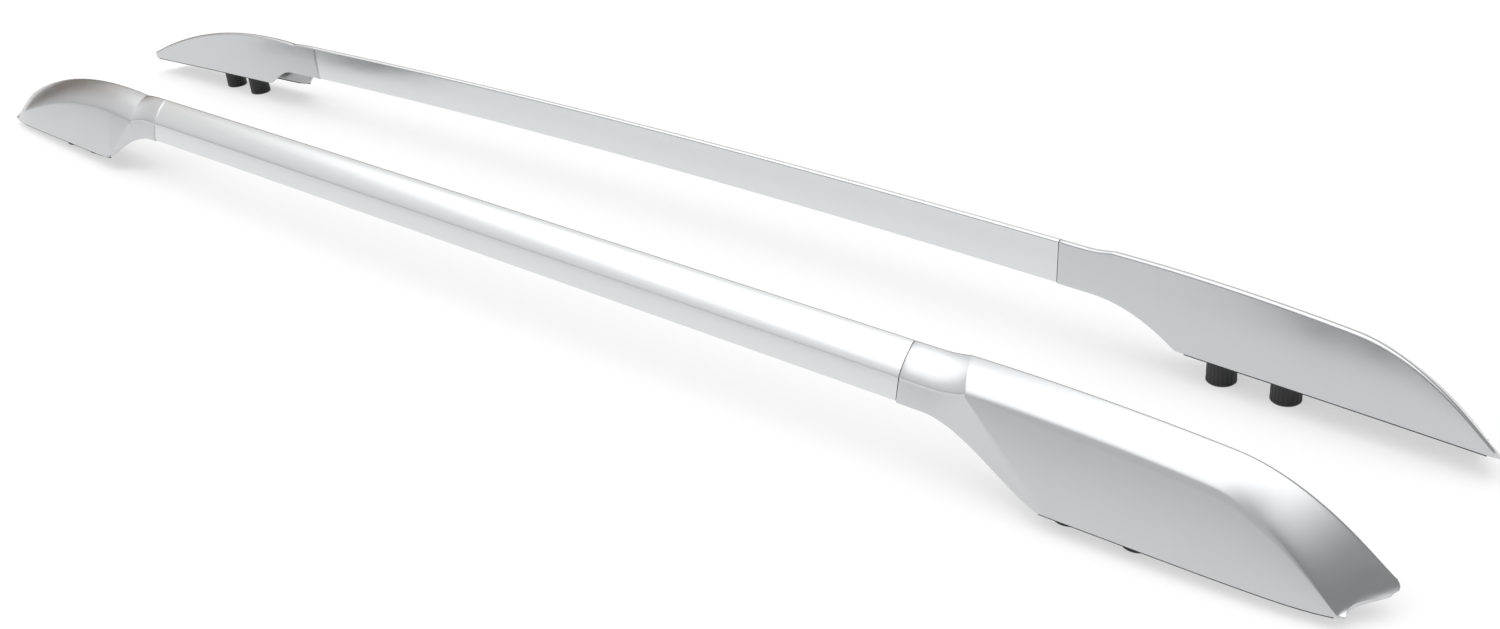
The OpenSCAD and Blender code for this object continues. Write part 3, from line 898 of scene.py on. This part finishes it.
@dataclass(frozen=True)
class Bar:
    """One rail's curved bar, from joint to joint."""

    side: Side
    section: BarSection = BAR
    ring_pitch: float = 12 * MM
    end_round: float = 0.35 * MM
    sharp_deg: float = 50
    round_steps: int = 2

    def build(self, finish: bpy.types.Material) -> bpy.types.Object:
        """Extrudes the section along the curve, closes the tube's ends and rounds them.

        Args:
            finish: The bar's material.

        Returns:
            The bar.
        """
        start, stop = -REAR_COVER.joint_x, FRONT_COVER.joint_x
        count = round((stop - start) / self.ring_pitch)
        bm = bmesh.new()
        skins = []
        for inset in (0.0, self.section.wall):
            outline = self.section.outline(inset)
            rings = [
                [CURVE.spot(mix(start, stop, i / count), u, z, self.side) for u, z in outline]
                for i in range(count + 1)
            ]
            skin = Loft(bm, rings[0], closed=True)
            for ring in rings[1:]:
                skin.extend(ring)
            skins.append(skin)
        outer, inner = skins
        bmesh.ops.bridge_loops(bm, edges=outer.first_edges + inner.first_edges)
        bmesh.ops.bridge_loops(bm, edges=outer.edges + inner.edges)
        bmesh.ops.recalc_face_normals(bm, faces=bm.faces)
        label = self.side.label
        piece = new_bmesh_object(f"{label}_rail_bar", bm, "bar", f"{label}_bar")
        piece.data.materials.append(finish)
        round_edges(piece, self.end_round, self.sharp_deg, self.round_steps)
        return piece


@dataclass(frozen=True)
class Cover:
    """One moulded end cover: an open-bottomed shell with a closed tip."""

    side: Side
    shape: CoverShape
    rim_round: float = 0.7 * MM
    sharp_deg: float = 45
    round_steps: int = 3
    merge: float = 0.02 * MM

    def build(self, finish: bpy.types.Material) -> bpy.types.Object:
        """Lofts the outer and inner skins, closes the tip and joins the skins at the rim.

        Args:
            finish: The cover's material.

        Returns:
            The cover.
        """
        shape = self.shape
        bm = bmesh.new()
        rims = []
        for inset in (0.0, shape.wall):
            last = shape.length - inset
            stations = [s for s in shape.stations() if s < last] + [last]
            rings = [shape.ring(s, inset, self.side) for s in stations]
            skin = Loft(bm, rings[0], closed=False)
            for ring in rings[1:]:
                skin.extend(ring)
            skin.extend(shape.ring(last, inset, self.side, at_foot=True))
            rims += [e for e in bm.edges if e.is_boundary and e not in rims]
        bmesh.ops.bridge_loops(bm, edges=rims)
        bmesh.ops.remove_doubles(bm, verts=bm.verts, dist=self.merge)
        bmesh.ops.recalc_face_normals(bm, faces=bm.faces)
        name = f"{self.side.label}_{shape.end.label}"
        piece = new_bmesh_object(f"{name}_end_cover", bm, "cover", f"{name}_cover")
        piece.data.materials.append(finish)
        round_edges(piece, self.rim_round, self.sharp_deg, self.round_steps)
        return piece


@dataclass(frozen=True)
class Bush:
    """One ribbed rubber bush that a foot stands on, with a bore for its steel sleeve."""

    node: str
    bore_r: float = 6.2 * MM
    ribs: int = 22
    rib_depth: float = 0.55 * MM
    collar_h: float = 2.4 * MM
    edge: float = 0.7 * MM
    edge_round: float = 0.25 * MM
    sharp_deg: float = 50
    round_steps: int = 2
    points: int = 176

    def radius(self, outer: float, angle: float, ribbed: bool) -> float:
        """Radius at an angle, set back between the ribs.

        Args:
            outer: Radius at the ribs' tops.
            angle: Direction from the bush's middle.
            ribbed: Whether this ring has ribs.

        Returns:
            The radius.
        """
        if not ribbed:
            return outer
        return outer - self.rib_depth * (0.5 - 0.5 * cos(self.ribs * angle)) ** 0.5

    def build(self, finish: bpy.types.Material) -> bpy.types.Object:
        """Lofts the ribbed skin between two plain collars, and bores it through.

        Args:
            finish: The bush's material.

        Returns:
            The bush.
        """
        low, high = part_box(self.node)
        middle = (low + high) / 2
        outer = (high.x - low.x) / 2
        bm = bmesh.new()
        rings = (
            (low.z, outer - self.edge, False),
            (low.z + self.edge, outer, False),
            (low.z + self.collar_h, outer, False),
            (low.z + self.collar_h + self.edge, outer, True),
            (high.z - self.collar_h - self.edge, outer, True),
            (high.z - self.collar_h, outer, False),
            (high.z, outer, False),
            (high.z, self.bore_r, False),
            (low.z, self.bore_r, False),
        )
        angles = [2 * pi * i / self.points for i in range(self.points)]
        skin = None
        for z, reach, ribbed in rings:
            ring = []
            for angle in angles:
                r = self.radius(reach, angle, ribbed)
                ring.append(Vector((middle.x + r * cos(angle), middle.y + r * sin(angle), z)))
            if skin is None:
                skin = Loft(bm, ring, closed=True)
            else:
                skin.extend(ring)
        bmesh.ops.bridge_loops(bm, edges=skin.first_edges + skin.edges)
        bmesh.ops.recalc_face_normals(bm, faces=bm.faces)
        piece = new_bmesh_object(self.node.replace("bush", "rubber_bush"), bm, "bush", self.node)
        piece.data.materials.append(finish)
        round_edges(piece, self.edge_round, self.sharp_deg, self.round_steps)
        return piece


@dataclass(frozen=True)
class Studio:
    """White floor, a surround that lights the rails, and the camera at the photograph's place."""

    floor_size: float = 40.0
    floor_colour: str = "#fafafa"
    floor_glow: float = 0.55
    focal_px: float = 1620.23
    frame_px: float = 1500
    sensor_mm: float = 36
    rise_px: float = 5.36
    place: tuple[float, float, float] = (1.1724, -0.95853, 0.69104)
    yaw: float = radians(43.38)
    pitch: float = radians(-28.02)
    roll: float = radians(-5.09)
    far_clip: float = 100.0
    # The surround's brightness by height, as seen to the front, to the right and to the rear
    peak: float = 3.0
    wall: tuple[tuple[float, float], ...] = (
        (0.0, 0.3), (0.57, 0.28), (0.68, 0.42), (0.8, 1.05), (0.86, 1.6), (0.93, 2.1), (1.0, 2.3),
    )
    side: tuple[tuple[float, float], ...] = (
        (0.0, 0.42), (0.08, 0.58), (0.22, 0.85), (0.48, 1.0),
        (0.57, 1.9), (0.77, 2.1), (0.93, 2.2), (1.0, 2.3),
    )
    rear: tuple[tuple[float, float], ...] = (
        (0.0, 0.12), (0.22, 0.16), (0.34, 0.3), (0.44, 0.8),
        (0.52, 0.98), (0.7, 1.02), (0.88, 1.15), (1.0, 2.3),
    )
    rear_tint: str = "#ffe0c4"
    side_to_rear: tuple[float, float] = (-0.34, 0.02)
    rear_to_wall: tuple[float, float] = (-0.3, 0.25)

    def camera(self) -> None:
        """Sets the camera, whose upright shift is the photograph's own small offset."""
        data = bpy.data.cameras.new("camera")
        data.sensor_width = self.sensor_mm
        data.lens = self.focal_px * self.sensor_mm / self.frame_px
        data.shift_y = self.rise_px / self.frame_px
        data.clip_end = self.far_clip
        ahead = Vector((-sin(self.yaw) * cos(self.pitch), cos(self.yaw) * cos(self.pitch), sin(self.pitch)))
        level = Vector((cos(self.yaw), sin(self.yaw), 0))
        above = level.cross(ahead)
        across = cos(self.roll) * level + sin(self.roll) * above
        upward = cos(self.roll) * above - sin(self.roll) * level
        turn = Matrix((across, upward, -ahead)).transposed().to_4x4()
        camera = bpy.data.objects.new("camera", data)
        camera.matrix_world = Matrix.Translation(self.place) @ turn
        bpy.context.scene.collection.objects.link(camera)
        bpy.context.scene.camera = camera

    def floor(self) -> None:
        """Lays the pale floor that takes the rails' soft shadows."""
        bm = bmesh.new()
        bmesh.ops.create_grid(bm, x_segments=1, y_segments=1, size=self.floor_size / 2)
        mesh = bpy.data.meshes.new("floor")
        bm.to_mesh(mesh)
        bm.free()
        made, tree, output = new_material("white studio floor")
        rays = add_node(tree, "ShaderNodeLightPath", {}, {})
        shown = add_node(tree, "ShaderNodeMath", {"operation": "ADD", "use_clamp": True},
                         {0: rays.outputs["Is Camera Ray"], 1: rays.outputs["Is Glossy Ray"]})
        share = add_node(tree, "ShaderNodeMath", {"operation": "MULTIPLY", 1: self.floor_glow},
                         {0: shown.outputs["Value"]})
        white = add_node(tree, "ShaderNodeEmission", {"Strength": 1.0}, {})
        diffuse = add_node(tree, "ShaderNodeBsdfDiffuse", {"Color": srgb(self.floor_colour)}, {})
        mixed = add_node(tree, "ShaderNodeMixShader", {},
                         {0: share.outputs["Value"], 1: diffuse.outputs["BSDF"],
                          2: white.outputs["Emission"]})
        tree.links.new(mixed.outputs["Shader"], output.inputs["Surface"])
        mesh.materials.append(made)
        floor = bpy.data.objects.new("floor", mesh)
        bpy.context.scene.collection.objects.link(floor)

    def ramp(self, tree: bpy.types.NodeTree, source: bpy.types.NodeSocket,
             stops: tuple[tuple[float, float], ...], tint: str = "#ffffff") -> bpy.types.NodeSocket:
        """Adds a ramp of brightness by height.

        Args:
            tree: The world's tree.
            source: The height's socket.
            stops: Pairs of a height and a level, where 1 is white.
            tint: The colour that levels under white take on.

        Returns:
            The ramp's colour, as a share of the peak.
        """
        node = add_node(tree, "ShaderNodeValToRGB", {}, {"Fac": source})
        band = node.color_ramp
        while len(band.elements) < len(stops):
            band.elements.new(0.5)
        for element, (at, level) in zip(band.elements, stops):
            element.position = at
            shade = [mix(c, 1.0, clamp01(level)) for c in srgb(tint)[:3]]
            element.color = tuple(level / self.peak * c for c in shade) + (1.0,)
        return node.outputs["Color"]

    def blend(self, tree: bpy.types.NodeTree, source: bpy.types.NodeSocket, span: tuple[float, float],
              low: bpy.types.NodeSocket, high: bpy.types.NodeSocket) -> bpy.types.NodeSocket:
        """Goes from one colour to another along a direction.

        Args:
            tree: The world's tree.
            source: The direction's socket.
            span: Values of the direction at which the change starts and ends.
            low: The colour before the change.
            high: The colour after it.

        Returns:
            The blended colour.
        """
        share = add_node(tree, "ShaderNodeMapRange",
                         {"interpolation_type": "SMOOTHSTEP", "From Min": span[0], "From Max": span[1]},
                         {"Value": source})
        mixed = add_node(tree, "ShaderNodeMix", {"data_type": "RGBA"},
                         {0: share.outputs["Result"], MIX_A: low, MIX_B: high})
        return mixed.outputs[MIX_RESULT]

    def world(self) -> None:
        """Makes the surround: dim low down to the front and rear, lit to the side and overhead."""
        world = bpy.data.worlds.new("studio")
        world.use_nodes = True
        bpy.context.scene.world = world
        tree = world.node_tree
        tree.nodes.clear()
        output = tree.nodes.new("ShaderNodeOutputWorld")
        place = add_node(tree, "ShaderNodeTexCoord", {}, {})
        split = add_node(tree, "ShaderNodeSeparateXYZ", {}, {"Vector": place.outputs["Generated"]})
        height = split.outputs["Z"]
        wall = self.ramp(tree, height, self.wall)
        side = self.ramp(tree, height, self.side)
        rear = self.ramp(tree, height, self.rear, self.rear_tint)
        back = self.blend(tree, split.outputs["Y"], self.side_to_rear, side, rear)
        around = self.blend(tree, split.outputs["X"], self.rear_to_wall, back, wall)
        rays = add_node(tree, "ShaderNodeLightPath", {}, {})
        light = add_node(tree, "ShaderNodeBackground", {"Strength": self.peak}, {"Color": around})
        white = add_node(tree, "ShaderNodeBackground", {"Color": (1, 1, 1, 1), "Strength": 1.0}, {})
        seen = add_node(tree, "ShaderNodeMixShader", {},
                        {0: rays.outputs["Is Camera Ray"], 1: light.outputs["Background"],
                         2: white.outputs["Background"]})
        tree.links.new(seen.outputs["Shader"], output.inputs["Surface"])

    def build(self) -> None:
        """Makes the whole studio."""
        self.camera()
        self.floor()
        self.world()
        bpy.context.scene.view_settings.view_transform = "Standard"


def main() -> None:
    """Builds the rails, dresses them and sets up the studio."""
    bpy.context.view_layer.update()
    Studio().build()
    aluminium = AnodisedAluminium().material()
    paint = SilverPaint().material()
    rubber = MouldedRubber().material()
    casting = DIE_CASTING.material()
    steel = ZINC_STEEL.material()
    for side in Side:
        Bar(side).build(aluminium)
        for shape in (FRONT_COVER, REAR_COVER):
            Cover(side, shape).build(paint)
    for name in list(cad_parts):
        if "bush" in name:
            Bush(name).build(rubber)
    dressing = {"seal": rubber, "foot": casting, "sleeves": steel, "screw": steel}
    for name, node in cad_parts.items():
        for word, finish in dressing.items():
            if word in name:
                node.data.materials.clear()
                node.data.materials.append(finish)
                log.info("%s: kept from the CAD, in %s", name, finish.name)


if __name__ == "__main__":
    logging.basicConfig(level=logging.INFO)
    main()
